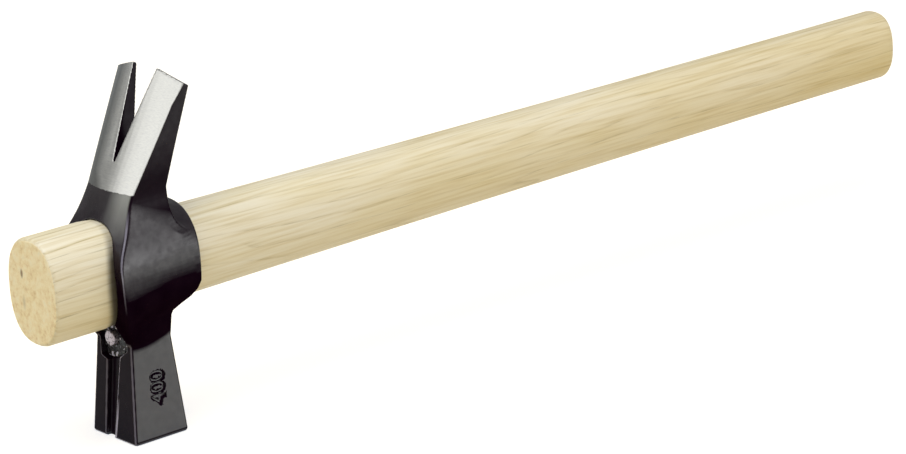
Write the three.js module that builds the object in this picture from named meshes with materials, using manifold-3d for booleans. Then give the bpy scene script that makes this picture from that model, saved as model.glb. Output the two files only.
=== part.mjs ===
// Carpenter hammer: a forged steel head with a square striking block, a nail groove, an oval eye
// and split claws, on an ash handle that is pushed through the eye from the front.
// Frame: origin at the middle of the striking face, +X along the handle to the grip, +Y across,
// +Z from the striking face up to the claws. Lengths are in millimetres.

import * as THREE from 'three';
import { mergeVertices } from 'three/addons/utils/BufferGeometryUtils.js';
import Module from 'manifold-3d';

const wasm = await Module();
wasm.setup();

// Striking block
const faceWidth = 26.4;
const faceDepth = 23.8;
const faceBevel = 1;
const blockHeight = 36.5;
const neckWidth = 20.2;
const neckFrontReach = 8.9;
const neckRearReach = 9.3;
const forgedEdge = 1.1;

// Eye boss round the handle
const eyeRise = 26.7;
const bossWidth = 40.6;
const bossHeight = 47.9;
const bossRearWidth = 35.8;
const bossRearHeight = 41.7;
const bossDrop = 28;
const bossFrontReach = 17.3;
const bossRearReach = 19.4;
const bossFillet = 6.4;
const frontBulgeDrop = 28.3;
const frontBulgeRise = 4;
const shoulderShare = 2;
const flankShare = 1.5;
const cheekStep = 0.05;

// Claws
const clawRootRise = 29.7;
const clawRootWidth = 26.7;
const clawRootFrontReach = 7.8;
const clawRootRearReach = 9.9;
const clawHeelDrop = 5.1;
const clawHeelRise = 12;
const clawLength = 41.6;
const clawSpread = 39.4;
const clawTipFrontOffset = 13;
const clawTipRearOffset = 20.1;
const clawCrownRadius = 43.9;
const clawHollow = 5.7;
const clawHollowShare = 0.45;
const clawSlotRise = 9.7;
const clawSlotWidth = 13.5;
const clawSlotRoot = 0.8;
const clawTipFall = 2.8;

// Nail groove and magnet pocket in the front of the striking block
const grooveTopWidth = 7;
const grooveBottomWidth = 4.7;
const grooveTopOffset = -0.1;
const grooveBottomOffset = 2.7;
const grooveDepth = 2.2;
const grooveEdge = 0.6;
const pocketWidth = 18;
const pocketDepth = 5.2;
const pocketLeftOffset = 7.4;
const pocketLeftDrop = 6.4;
const pocketRightOffset = -7.9;
const pocketRightDrop = 2.1;
const pocketGrooveLeftDrop = 7.5;
const pocketGrooveRightDrop = 5.5;
const magnetDiameterShare = 0.46;
const magnetPlaceShare = 0.49;
const magnetOffset = 2.5;
const magnetBevel = 0.3;
const magnetLength = 5;
const adhesiveThickness = 3;
const adhesiveLump = 0.7;
const adhesiveLumpSpan = 2.4;

// Handle
const stubReach = 42;
const gripReach = 390;
const stubHeight = 39.4;
const handleRatioShare = 0.757;
const wristHeight = 32.9;
const gripHeight = 28.4;
const waistShare = 1.9;
const stubChamfer = 1.6;
const chamferEaseShare = 0.35;
const gripRounding = 3;
const squarenessShare = 2.37;

// Fits and cuts
const fitClearance = 0.3;
const mouthFlare = 0.9;
const mouthFlareDepth = 1.8;
const overrun = 9;
const seamOverrun = 2;

// Heights that follow from the sizes above
const eyeAxisHeight = blockHeight + eyeRise;
const eyeFloorHeight = eyeAxisHeight - stubHeight / 2;
const clawRootHeight = eyeAxisHeight + clawRootRise;
const clawTipHeight = clawRootHeight + clawLength;
const clawSlotBottom = clawRootHeight + clawSlotRise;
const clawHeelTop = clawRootHeight - clawHeelDrop;
const clawHeelBottom = clawHeelTop - clawHeelRise;
const pocketLeftHeight = blockHeight - pocketLeftDrop;
const pocketRightHeight = blockHeight - pocketRightDrop;
const pocketGrooveLeftHeight = blockHeight - pocketGrooveLeftDrop;
const pocketGrooveRightHeight = blockHeight - pocketGrooveRightDrop;
const pocketHeight = eyeFloorHeight - pocketGrooveRightHeight;
const pocketFloorReach = neckFrontReach - pocketDepth;
const magnetDiameter = pocketHeight * magnetDiameterShare;
const magnetHeight = pocketGrooveRightHeight + pocketHeight * magnetPlaceShare;

const sideSegments = 64;
const cornerSegments = 4;
const crownSegments = 12;
const cheekSegments = 6;

const forgedSteel = new THREE.MeshStandardMaterial({ color: 0x1b1a1c, roughness: 0.35, metalness: 0.6 });
const ashWood = new THREE.MeshStandardMaterial({ color: 0xe0d0a4, roughness: 0.55, metalness: 0 });
const magnetSteel = new THREE.MeshStandardMaterial({ color: 0x6e6c70, roughness: 0.45, metalness: 0.9 });
const blackAdhesive = new THREE.MeshStandardMaterial({ color: 0x151216, roughness: 0.25, metalness: 0 });

// Value on the straight line through (startAt, startValue) and (endAt, endValue)
function onLine(at, startAt, startValue, endAt, endValue) {
  return startValue + ((at - startAt) / (endAt - startAt)) * (endValue - startValue);
}

// The larger of two lengths, with a fillet where they meet
function filletedMaximum(first, second, fillet) {
  const closeness = Math.max(fillet - Math.abs(first - second), 0) / fillet;
  return Math.max(first, second) + (closeness * closeness * fillet) / 4;
}

// The smaller of two lengths, with the corner between them rounded
function roundedMinimum(first, second, rounding) {
  return -filletedMaximum(-first, -second, rounding);
}

// Half of a squarish oval's width at a height from its middle
function ovalHalfWidth(offset, halfWidth, halfHeight) {
  const left = Math.max(1 - Math.abs(offset / halfHeight) ** squarenessShare, 0);
  return halfWidth * left ** (1 / squarenessShare);
}

// The point of a unit squarish oval at an angle
function ovalPoint(angle) {
  const power = 2 / squarenessShare;
  return {
    across: Math.sign(Math.cos(angle)) * Math.abs(Math.cos(angle)) ** power,
    up: Math.sign(Math.sin(angle)) * Math.abs(Math.sin(angle)) ** power,
  };
}

// A closed solid through rings of points; all rings have the same number of points
function loftRings(rings) {
  const positions = rings.flat().flatMap((point) => [point.x, point.y, point.z]);
  const ringSize = rings[0].length;
  const faces = [];
  for (let ring = 0; ring < rings.length - 1; ring += 1) {
    for (let index = 0; index < ringSize; index += 1) {
      const next = (index + 1) % ringSize;
      const low = ring * ringSize;
      const high = low + ringSize;
      faces.push(low + index, low + next, high + next);
      faces.push(low + index, high + next, high + index);
    }
  }
  const endRings = [rings[0], rings[rings.length - 1]];
  endRings.forEach((ring, end) => {
    const centre = ring.reduce((sum, point) => sum.add(point), new THREE.Vector3());
    centre.divideScalar(ringSize);
    const centreIndex = positions.length / 3;
    positions.push(centre.x, centre.y, centre.z);
    const first = end === 0 ? 0 : (rings.length - 1) * ringSize;
    for (let index = 0; index < ringSize; index += 1) {
      const next = (index + 1) % ringSize;
      if (end === 0) {
        faces.push(centreIndex, first + next, first + index);
      } else {
        faces.push(centreIndex, first + index, first + next);
      }
    }
  });
  const geometry = new THREE.BufferGeometry();
  geometry.setAttribute('position', new THREE.Float32BufferAttribute(positions, 3));
  geometry.setIndex(faces);
  return geometry;
}

function solidOf(geometry) {
  const bare = geometry.clone();
  bare.deleteAttribute('normal');
  bare.deleteAttribute('uv');
  const merged = mergeVertices(bare);
  const mesh = new wasm.Mesh({
    numProp: 3,
    vertProperties: new Float32Array(merged.attributes.position.array),
    triVerts: new Uint32Array(merged.index.array),
  });
  return new wasm.Manifold(mesh);
}

function geometryOf(solid) {
  const mesh = solid.getMesh();
  const geometry = new THREE.BufferGeometry();
  geometry.setAttribute('position', new THREE.BufferAttribute(mesh.vertProperties, 3));
  geometry.setIndex(new THREE.BufferAttribute(mesh.triVerts, 1));
  return geometry;
}

function namedMesh(name, geometry, material) {
  geometry.computeVertexNormals();
  const mesh = new THREE.Mesh(geometry, material);
  mesh.name = name;
  return mesh;
}

// Handle section: a squarish oval, taller than it is wide
function ovalRing(x, halfHeight, halfWidth) {
  const ring = [];
  for (let step = 0; step < sideSegments; step += 1) {
    const { across, up } = ovalPoint((step / sideSegments) * Math.PI * 2);
    ring.push(new THREE.Vector3(x, across * halfWidth, eyeAxisHeight + up * halfHeight));
  }
  return ring;
}

// Half height of the handle: even in the stub, wedge-shaped through the eye, then a slim waist
function handleHalfHeight(x) {
  const taperStart = -bossFrontReach;
  const taperEnd = bossRearReach;
  if (x <= taperStart) {
    return stubHeight / 2;
  }
  if (x <= taperEnd) {
    return onLine(x, taperStart, stubHeight / 2, taperEnd, wristHeight / 2);
  }
  const share = (x - taperEnd) / (gripReach - taperEnd);
  return THREE.MathUtils.lerp(gripHeight, wristHeight, (1 - share) ** waistShare) / 2;
}

function handleSection(x, inset) {
  const halfHeight = handleHalfHeight(x);
  return ovalRing(x, halfHeight - inset, halfHeight * handleRatioShare - inset);
}

function handleSolid() {
  const rings = [];
  rings.push(handleSection(-stubReach, stubChamfer));
  rings.push(handleSection(-stubReach + stubChamfer * chamferEaseShare, stubChamfer * chamferEaseShare));
  rings.push(handleSection(-stubReach + stubChamfer, 0));
  rings.push(handleSection(-bossFrontReach, 0));
  rings.push(handleSection(bossRearReach, 0));
  const shaftRings = 14;
  const shaftStart = bossRearReach;
  const shaftEnd = gripReach - gripRounding;
  for (let step = 1; step <= shaftRings; step += 1) {
    rings.push(handleSection(shaftStart + ((shaftEnd - shaftStart) * step) / shaftRings, 0));
  }
  const roundSteps = 5;
  for (let step = 1; step <= roundSteps; step += 1) {
    const angle = (step / roundSteps) * (Math.PI / 2);
    const x = gripReach - gripRounding + Math.sin(angle) * gripRounding;
    rings.push(handleSection(x, (1 - Math.cos(angle)) * gripRounding));
  }
  return loftRings(rings);
}

// Half width of the eye boss where a plane across the handle axis meets it; it narrows to the rear
function bossHalfWidth(x) {
  return onLine(x, -bossFrontReach, bossWidth, bossRearReach, bossRearWidth) / 2;
}

// Half height of the eye boss above the handle axis
function bossHalfHeight(x) {
  return onLine(x, -bossFrontReach, bossHeight, bossRearReach, bossRearHeight) / 2;
}

// How far back the boss reaches at a height, as a share: it is cut away under the handle
function bossReachShare(height) {
  const stationShares = [
    [-1, 0.5], [-0.776, 0.45], [-0.626, 0.47], [-0.553, 0.6],
    [-0.463, 0.8], [-0.37, 0.93], [-0.244, 1], [1, 1],
  ];
  const heightShare = THREE.MathUtils.clamp((height - eyeAxisHeight) / bossDrop, -1, 1);
  const next = stationShares.findIndex(([share]) => share >= heightShare);
  const after = Math.max(next, 1);
  const [startShare, startReachShare] = stationShares[after - 1];
  const [endShare, endReachShare] = stationShares[after];
  return onLine(heightShare, startShare, startReachShare, endShare, endReachShare);
}

// Half width over the head's cheeks at a height and a place along the handle
function cheekHalfWidth(height, x) {
  if (height > clawRootHeight) {
    return onLine(height, clawRootHeight, clawRootWidth / 2, clawTipHeight, clawSpread / 2);
  }
  if (height > eyeAxisHeight) {
    const share = (height - eyeAxisHeight) / (clawRootHeight - eyeAxisHeight);
    const fullness = (1 - share ** 2) ** shoulderShare;
    const shoulder = THREE.MathUtils.lerp(clawRootWidth / 2, bossHalfWidth(x), fullness);
    const oval = ovalHalfWidth(height - eyeAxisHeight, bossHalfWidth(x), bossHalfHeight(x));
    const toRear = THREE.MathUtils.smoothstep(x, clawRootRearReach, bossRearReach);
    return THREE.MathUtils.lerp(shoulder, oval, toRear);
  }
  const flank = height < blockHeight
    ? onLine(height, 0, faceWidth / 2, blockHeight, neckWidth / 2)
    : neckWidth / 2;
  const oval = ovalHalfWidth(height - eyeAxisHeight, bossHalfWidth(x), bossDrop);
  const full = filletedMaximum(flank, oval, bossFillet);
  const rearReach = bossRearReach * bossReachShare(height);
  const rearHalf = THREE.MathUtils.lerp(flank, full, bossReachShare(height) ** flankShare);
  const toRear = THREE.MathUtils.clamp((x + bossFrontReach) / (rearReach + bossFrontReach), 0, 1);
  return THREE.MathUtils.lerp(full, rearHalf, toRear);
}

// Forward reach of the claws' front face in the middle plane at a height
function clawFrontReach(height) {
  return -onLine(height, clawRootHeight, -clawRootFrontReach, clawTipHeight, clawTipFrontOffset);
}

// How far the middle of the front face stands in front of its two edges
function frontCrown(height) {
  const half = cheekHalfWidth(height, -bossFrontReach);
  const full = (half * half) / (2 * clawCrownRadius);
  const fadeStart = eyeAxisHeight;
  const fadeEnd = eyeAxisHeight + bossHeight / 2;
  return full * THREE.MathUtils.smoothstep(height, fadeStart, fadeEnd);
}

function rearHollow(height) {
  const start = eyeAxisHeight + bossHeight / 2;
  const end = THREE.MathUtils.lerp(clawRootHeight, clawTipHeight, clawHollowShare);
  return clawHollow * THREE.MathUtils.smoothstep(height, start, end);
}

// Forward reach of the head's front edges at a height
function frontEdgeReach(height) {
  const claw = clawFrontReach(height) - frontCrown(height);
  const bulgeHeight = eyeAxisHeight + frontBulgeRise;
  if (height > bulgeHeight) {
    return roundedMinimum(bossFrontReach, claw, bossFillet / 2);
  }
  const neck = height < blockHeight
    ? onLine(height, 0, faceDepth / 2, blockHeight, neckFrontReach)
    : neckFrontReach;
  const bulge = ovalHalfWidth(height - bulgeHeight, bossFrontReach, frontBulgeDrop + frontBulgeRise);
  return filletedMaximum(neck, roundedMinimum(bulge, claw, bossFillet / 2), bossFillet / 2);
}

// Rearward reach of the middle web's rear edges at a height
function webRearEdgeReach(height) {
  if (height < blockHeight) {
    return onLine(height, 0, faceDepth / 2, blockHeight, neckRearReach);
  }
  if (height > clawRootHeight) {
    return onLine(height, clawRootHeight, clawRootRearReach, clawTipHeight, clawTipRearOffset);
  }
  const base = onLine(height, blockHeight, neckRearReach, clawRootHeight, clawRootRearReach);
  const bossReach = bossRearReach * bossReachShare(height) - forgedEdge;
  if (height < clawHeelBottom) {
    return Math.max(base, bossReach);
  }
  const heelShare = THREE.MathUtils.clamp((clawHeelTop - height) / (clawHeelTop - clawHeelBottom), 0, 1);
  return THREE.MathUtils.lerp(base, bossReach, 1 - Math.sqrt(1 - heelShare ** 2));
}

// A section of the web across Z with rounded corners, a crowned front and a hollow rear
function webRing(height, inset) {
  const front = -frontEdgeReach(height) + inset;
  const rear = webRearEdgeReach(height) - inset;
  const crown = frontCrown(height);
  const hollow = rearHollow(height);
  const radius = forgedEdge;
  const halfAt = (x) => cheekHalfWidth(height, x) + cheekStep - inset;
  const frontHalf = halfAt(front);
  const rearHalf = halfAt(rear);
  const ring = [];
  const addPoint = (x, y) => {
    const toFront = THREE.MathUtils.clamp((rear - x) / (rear - front), 0, 1);
    const half = THREE.MathUtils.lerp(rearHalf, frontHalf, toFront);
    const share = Math.max(1 - (y / half) ** 2, 0);
    ring.push(new THREE.Vector3(x - crown * share * toFront - hollow * share * (1 - toFront), y, height));
  };
  const addCorner = (x, y, startAngle) => {
    for (let step = 0; step <= cornerSegments; step += 1) {
      const angle = startAngle + (step / cornerSegments) * (Math.PI / 2);
      addPoint(x + Math.cos(angle) * radius, y + Math.sin(angle) * radius);
    }
  };
  const addFace = (x, startY, endY) => {
    for (let step = 1; step < crownSegments; step += 1) {
      addPoint(x, THREE.MathUtils.lerp(startY, endY, step / crownSegments));
    }
  };
  const addCheek = (startX, endX, side) => {
    for (let step = 1; step < cheekSegments; step += 1) {
      const x = THREE.MathUtils.lerp(startX, endX, step / cheekSegments);
      addPoint(x, side * halfAt(x));
    }
  };
  addCorner(rear - radius, -rearHalf + radius, -Math.PI / 2);
  addFace(rear, -rearHalf + radius, rearHalf - radius);
  addCorner(rear - radius, rearHalf - radius, 0);
  addCheek(rear - radius, front + radius, 1);
  addCorner(front + radius, frontHalf - radius, Math.PI / 2);
  addFace(front, frontHalf - radius, -frontHalf + radius);
  addCorner(front + radius, -frontHalf + radius, Math.PI);
  addCheek(front + radius, rear - radius, -1);
  return ring;
}

function heightsBetween(start, end, count) {
  const heights = [];
  for (let step = 0; step <= count; step += 1) {
    heights.push(start + ((end - start) * step) / count);
  }
  return heights;
}

function webSolid() {
  const rings = [];
  const bevelSteps = 3;
  for (let step = 0; step <= bevelSteps; step += 1) {
    const angle = (step / bevelSteps) * (Math.PI / 2);
    rings.push(webRing(faceBevel * (1 - Math.cos(angle)), faceBevel * (1 - Math.sin(angle))));
  }
  const bossBottom = eyeAxisHeight - bossHeight / 2;
  const bossTop = eyeAxisHeight + bossHeight / 2;
  const heights = [
    ...heightsBetween(blockHeight, bossBottom, 2),
    ...heightsBetween(bossBottom, eyeAxisHeight, 16).slice(1),
    ...heightsBetween(eyeAxisHeight, bossTop, 16).slice(1),
    ...heightsBetween(bossTop, clawRootHeight, 3).slice(1),
    ...heightsBetween(clawRootHeight, clawTipHeight + seamOverrun, 12).slice(1),
  ];
  heights.forEach((height) => rings.push(webRing(height, 0)));
  return solidOf(loftRings(rings));
}

function bossRing(x, inset) {
  const ring = [];
  for (let step = 0; step < sideSegments; step += 1) {
    const { across, up } = ovalPoint((step / sideSegments) * Math.PI * 2);
    const drop = up * bossDrop;
    const place = x * bossReachShare(eyeAxisHeight + Math.min(drop, 0));
    const rise = up * ((up > 0 ? bossHalfHeight(place) : bossDrop) - inset);
    const cheek = cheekHalfWidth(eyeAxisHeight + Math.min(rise, 0), place);
    const half = Math.min(Math.abs(across) * bossHalfWidth(place), cheek) - Math.abs(across) * inset;
    ring.push(new THREE.Vector3(place, Math.sign(across) * half, eyeAxisHeight + rise));
  }
  return ring;
}

function bossSolid() {
  const rings = [bossRing(0, 0)];
  const straight = bossRearReach - forgedEdge;
  const straightSteps = 4;
  for (let step = 1; step <= straightSteps; step += 1) {
    rings.push(bossRing((straight * step) / straightSteps, 0));
  }
  for (let step = 1; step <= cornerSegments; step += 1) {
    const angle = (step / cornerSegments) * (Math.PI / 2);
    rings.push(bossRing(straight + Math.sin(angle) * forgedEdge, (1 - Math.cos(angle)) * forgedEdge));
  }
  return solidOf(loftRings(rings));
}

// The eye: the handle's own wedge with clearance, flared at the front mouth
function eyeCut() {
  const reach = (x, extra) => {
    const halfHeight = handleHalfHeight(x);
    const spare = fitClearance + extra;
    return ovalRing(x, halfHeight + spare, halfHeight * handleRatioShare + spare);
  };
  const flareStart = -bossFrontReach + mouthFlareDepth;
  const rings = [
    reach(-bossFrontReach - overrun, mouthFlare + overrun / 2),
    reach(flareStart, 0),
    reach(bossRearReach, 0),
    reach(bossRearReach + overrun, 0),
  ];
  return solidOf(loftRings(rings));
}

// The V between the claws, cut square through their front face
function clawSlotCut() {
  const lean = Math.atan2(clawTipFrontOffset + clawRootFrontReach, clawTipHeight - clawRootHeight);
  const length = (clawTipHeight - clawSlotBottom) / Math.cos(lean);
  const long = length + overrun;
  const halfTop = (clawSlotWidth / 2) * (long / length);
  const outline = new THREE.Shape();
  outline.moveTo(-clawSlotRoot / 2, 0);
  outline.absarc(0, 0, clawSlotRoot / 2, Math.PI, Math.PI * 2, false);
  outline.lineTo(halfTop, long);
  outline.lineTo(-halfTop, long);
  outline.closePath();
  const depth = (clawRootRearReach + clawRootFrontReach) + overrun * 2;
  const prism = new THREE.ExtrudeGeometry(outline, { depth, bevelEnabled: false, curveSegments: 6 });
  prism.translate(0, 0, -depth / 2);
  prism.rotateX(Math.PI / 2);
  prism.rotateZ(Math.PI / 2);
  prism.rotateY(lean);
  prism.translate(-clawFrontReach(clawSlotBottom), 0, clawSlotBottom);
  return solidOf(prism);
}

// Trims the claw tips square to the claws, a little lower at their outer corners
function clawTipCut() {
  const lean = Math.atan2(clawTipFrontOffset + clawRootFrontReach, clawTipHeight - clawRootHeight);
  const halfSpread = clawSpread / 2 + overrun;
  const halfSlot = clawSlotWidth / 2;
  const slope = clawTipFall / (clawSpread / 2 - halfSlot);
  const outline = new THREE.Shape();
  outline.moveTo(-halfSpread, -slope * (halfSpread - halfSlot));
  outline.lineTo(0, slope * halfSlot);
  outline.lineTo(halfSpread, -slope * (halfSpread - halfSlot));
  outline.lineTo(halfSpread, overrun * 2);
  outline.lineTo(-halfSpread, overrun * 2);
  outline.closePath();
  const depth = clawTipRearOffset * 2 + overrun;
  const prism = new THREE.ExtrudeGeometry(outline, { depth, bevelEnabled: false });
  prism.translate(0, 0, -depth / 2);
  prism.rotateX(Math.PI / 2);
  prism.rotateZ(Math.PI / 2);
  prism.rotateY(lean);
  prism.translate(clawTipFrontOffset, 0, clawTipHeight);
  return solidOf(prism);
}

// Middle and half width of the nail groove at a height
function grooveSpan(height) {
  return {
    middle: onLine(height, 0, grooveBottomOffset, blockHeight, grooveTopOffset),
    half: onLine(height, 0, grooveBottomWidth, blockHeight, grooveTopWidth) / 2,
  };
}

// Nail groove with eased edges, from the striking face up to the pocket
function grooveCut() {
  const ringAt = (height) => {
    const { middle, half } = grooveSpan(height);
    const surface = -frontEdgeReach(Math.max(height, 0));
    const corners = [
      [surface + grooveDepth, half],
      [surface + grooveEdge, half],
      [surface - overrun, half + grooveEdge + overrun],
    ];
    const upper = corners.map(([x, y]) => new THREE.Vector3(x, middle + y, height));
    const lower = corners.map(([x, y]) => new THREE.Vector3(x, middle - y, height)).reverse();
    return [...upper, ...lower];
  };
  return solidOf(loftRings([ringAt(-overrun), ringAt(0), ringAt(pocketRightHeight)]));
}

// Outline of the magnet pocket under the handle's stub, as [across, height], up to a given height
function pocketOutline(top) {
  const left = grooveSpan(pocketGrooveLeftHeight);
  const right = grooveSpan(pocketGrooveRightHeight);
  return [
    [-pocketWidth / 2, top],
    [pocketRightOffset, pocketRightHeight],
    [right.middle - right.half, pocketGrooveRightHeight],
    [left.middle + left.half, pocketGrooveLeftHeight],
    [pocketLeftOffset, pocketLeftHeight],
    [pocketWidth / 2, top],
  ];
}

// A closed outline moved inwards by a distance
function insetOutline(points, distance) {
  return points.map(([y, z], place) => {
    const [beforeY, beforeZ] = points[(place + points.length - 1) % points.length];
    const [afterY, afterZ] = points[(place + 1) % points.length];
    const before = new THREE.Vector2(y - beforeY, z - beforeZ).normalize();
    const after = new THREE.Vector2(afterY - y, afterZ - z).normalize();
    const inward = new THREE.Vector2(-before.y - after.y, before.x + after.x).normalize();
    const along = distance / (inward.x * -after.y + inward.y * after.x);
    return [y + inward.x * along, z + inward.y * along];
  });
}

// A prism along the handle axis over an outline of [across, height] points
function prismAlong(points, front, rear) {
  const ringAt = (x) => points.map(([y, z]) => new THREE.Vector3(x, y, z));
  return solidOf(loftRings([ringAt(front), ringAt(rear)]));
}

function pocketCut() {
  return prismAlong(pocketOutline(eyeFloorHeight + seamOverrun), -faceDepth, -pocketFloorReach);
}

function headGeometry() {
  const body = webSolid().add(bossSolid());
  const cuts = [eyeCut(), clawSlotCut(), clawTipCut(), grooveCut(), pocketCut()];
  return geometryOf(cuts.reduce((solid, cut) => solid.subtract(cut), body));
}

// Round slug that stands on the pocket's floor and faces the front
function slugGeometry(radius, front) {
  const profile = [
    new THREE.Vector2(0, 0),
    new THREE.Vector2(radius, 0),
    new THREE.Vector2(radius, front - magnetBevel),
    new THREE.Vector2(radius - magnetBevel, front),
    new THREE.Vector2(0, front),
  ];
  const slug = new THREE.LatheGeometry(profile, sideSegments / 2);
  slug.rotateZ(Math.PI / 2);
  slug.translate(-pocketFloorReach - fitClearance, magnetOffset, magnetHeight);
  return slug;
}

// Hardened adhesive round the magnet: it covers the pocket's floor and has a lumpy front
function adhesiveGeometry() {
  const columns = 14;
  const rows = 12;
  const back = -pocketFloorReach - fitClearance;
  const bottom = pocketGrooveLeftHeight - seamOverrun;
  const top = eyeFloorHeight;
  const rings = heightsBetween(bottom, top, rows).map((height) => {
    const ring = [];
    for (let column = 0; column <= columns; column += 1) {
      const y = THREE.MathUtils.lerp(pocketWidth / 2, -pocketWidth / 2, column / columns);
      const ripple = Math.sin((2 * y + height) / adhesiveLumpSpan);
      const lump = adhesiveLump * ripple * Math.cos((y - 2 * height) / adhesiveLumpSpan);
      ring.push(new THREE.Vector3(back - adhesiveThickness - lump, y, height));
    }
    ring.push(new THREE.Vector3(back, -pocketWidth / 2, height));
    ring.push(new THREE.Vector3(back, pocketWidth / 2, height));
    return ring;
  });
  const outline = insetOutline(pocketOutline(eyeFloorHeight), fitClearance);
  const bed = solidOf(loftRings(rings)).intersect(prismAlong(outline, -faceDepth, back));
  const magnetSeat = slugGeometry(magnetDiameter / 2 + fitClearance, overrun);
  return geometryOf(bed.subtract(solidOf(magnetSeat)));
}

const hammer = new THREE.Group();
hammer.add(namedMesh('head', headGeometry(), forgedSteel));
hammer.add(namedMesh('handle', handleSolid(), ashWood));
hammer.add(namedMesh('magnet', slugGeometry(magnetDiameter / 2, magnetLength), magnetSteel));
hammer.add(namedMesh('magnet_adhesive', adhesiveGeometry(), blackAdhesive));

export default hammer;
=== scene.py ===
import math

import bmesh
import bpy
from mathutils import Matrix, Vector


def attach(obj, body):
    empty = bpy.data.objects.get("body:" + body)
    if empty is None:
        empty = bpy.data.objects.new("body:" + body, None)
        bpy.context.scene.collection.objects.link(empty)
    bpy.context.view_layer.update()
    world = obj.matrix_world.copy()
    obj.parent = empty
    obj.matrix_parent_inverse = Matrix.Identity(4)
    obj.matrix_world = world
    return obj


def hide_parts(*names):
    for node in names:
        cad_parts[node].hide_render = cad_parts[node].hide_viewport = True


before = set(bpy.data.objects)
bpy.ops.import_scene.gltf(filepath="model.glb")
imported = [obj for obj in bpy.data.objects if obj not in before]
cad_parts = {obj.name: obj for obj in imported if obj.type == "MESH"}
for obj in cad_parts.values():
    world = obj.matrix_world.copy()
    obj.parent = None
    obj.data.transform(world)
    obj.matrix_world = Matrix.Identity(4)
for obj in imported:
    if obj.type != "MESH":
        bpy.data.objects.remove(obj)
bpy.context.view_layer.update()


# Head: one forging of carbon steel, with the striking block, the eye and the split claws in one piece.
# It is trimmed, dipped in black lacquer, and then the front of the claws is ground bright on a belt.
# The weight in grams is stamped into one cheek of the block.

# One millimetre, in Blender's metres
MM = 0.001
# The block's sizes, in millimetres, at the striking face and at the neck above it. They give how
# steeply its cheeks and its front draw in.
FACE_WIDTH = 26.4
FACE_DEPTH = 23.8
NECK_WIDTH = 20.2
NECK_FRONT_REACH = 8.9
BLOCK_HEIGHT = 36.5
CHEEK_TILT = math.atan((FACE_WIDTH - NECK_WIDTH) / 2 / BLOCK_HEIGHT)
FRONT_SLOPE = (FACE_DEPTH / 2 - NECK_FRONT_REACH) / BLOCK_HEIGHT
# The even skin over the forging: the size of its cells, how often it is smoothed, and how many
# triangles are left of it
SKIN_VOXEL = 0.34 * MM
SKIN_PASSES = 2
SKIN_FACES = 185000
# The stamped figures: their walls slope, their strokes are a little thinner than the typeface's, and
# they stand closer. The typeface draws a figure 0.729 times as tall as the size that is asked for.
FIGURE_HEIGHT = 6.7 * MM
FIGURE_DEPTH = 0.55 * MM
FIGURE_SLOPE = 0.52 * MM
FIGURE_THINNING = 0.06 * MM
FIGURE_WIDTH_SHARE = 0.98
FIGURE_SPACING = 0.93
TYPEFACE_SHARE = 0.729
FIGURE_MIDDLE = Vector((0.9 * MM, -11.57 * MM, 19.2 * MM))
FIGURE_LEAN = math.radians(2.2)


def put_in_scene(name, form):
    """Puts a mesh, a curve, a lamp or a camera into the scene as an object of that name."""
    piece = bpy.data.objects.new(name, form)
    bpy.context.scene.collection.objects.link(piece)
    return piece


def settle(piece):
    """Gives back the piece as one plain mesh, with what its modifiers do made part of it."""
    graph = bpy.context.evaluated_depsgraph_get()
    mesh = bpy.data.meshes.new_from_object(piece.evaluated_get(graph))
    name = piece.name
    bpy.data.objects.remove(piece)
    return put_in_scene(name, mesh)


def join_corners(mesh):
    """Joins corners that lie on each other, so that the mesh is closed."""
    form = bmesh.new()
    form.from_mesh(mesh)
    bmesh.ops.remove_doubles(form, verts=form.verts, dist=0.001 * MM)
    form.to_mesh(mesh)
    form.free()


def rounded_copy(name, node, voxel, passes, faces=None):
    """A copy of a CAD solid as an even skin, with faces as big as the voxel. Its edges are rounded by
    smoothing it that many times, and a number of faces thins it to about as many triangles."""
    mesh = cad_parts[node].data.copy()
    mesh.materials.clear()
    join_corners(mesh)
    piece = put_in_scene(name, mesh)
    remesh = piece.modifiers.new("skin", "REMESH")
    remesh.mode = "VOXEL"
    remesh.voxel_size = voxel
    softening = piece.modifiers.new("soft edges", "SMOOTH")
    softening.factor = 0.5
    softening.iterations = passes
    piece = settle(piece)
    if faces:
        thinning = piece.modifiers.new("thin skin", "DECIMATE")
        thinning.ratio = faces / sum(len(polygon.vertices) - 2 for polygon in piece.data.polygons)
        piece = settle(piece)
    return piece


def shade_smooth(piece):
    """Lets light run over all faces of a piece as over one round skin."""
    for polygon in piece.data.polygons:
        polygon.use_smooth = True


head = rounded_copy("head_forging", "head", SKIN_VOXEL, SKIN_PASSES, SKIN_FACES)

# The stamp: figures that are read from the side, with their tops towards the front of the block
figures = bpy.data.curves.new("weight_figures", "FONT")
figures.body = "400"
figures.size = FIGURE_HEIGHT / TYPEFACE_SHARE
figures.align_x = "CENTER"
figures.align_y = "CENTER"
figures.space_character = FIGURE_SPACING
figures.extrude = FIGURE_DEPTH - FIGURE_SLOPE
figures.bevel_depth = FIGURE_SLOPE
figures.bevel_resolution = 0
figures.offset = -FIGURE_THINNING
figures.resolution_u = 6
stamp = put_in_scene("stamp", figures)
stamp = settle(stamp)
stamp.data.transform(
    Matrix.Translation(FIGURE_MIDDLE)
    @ Matrix.Rotation(-CHEEK_TILT, 4, "X")
    @ Matrix.Rotation(FIGURE_LEAN, 4, "Y")
    @ Matrix.Rotation(math.radians(90), 4, "X")
    @ Matrix.Rotation(math.radians(90), 4, "Z")
    @ Matrix.Diagonal((FIGURE_WIDTH_SHARE, 1, 1, 1))
)
join_corners(stamp.data)
stamping = head.modifiers.new("stamped figures", "BOOLEAN")
stamping.operation = "DIFFERENCE"
stamping.solver = "MANIFOLD"
stamping.object = stamp
head = settle(head)
bpy.data.objects.remove(stamp)
# The stamping leaves an empty material slot, which would stand before the lacquer's
head.data.materials.clear()
shade_smooth(head)


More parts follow.
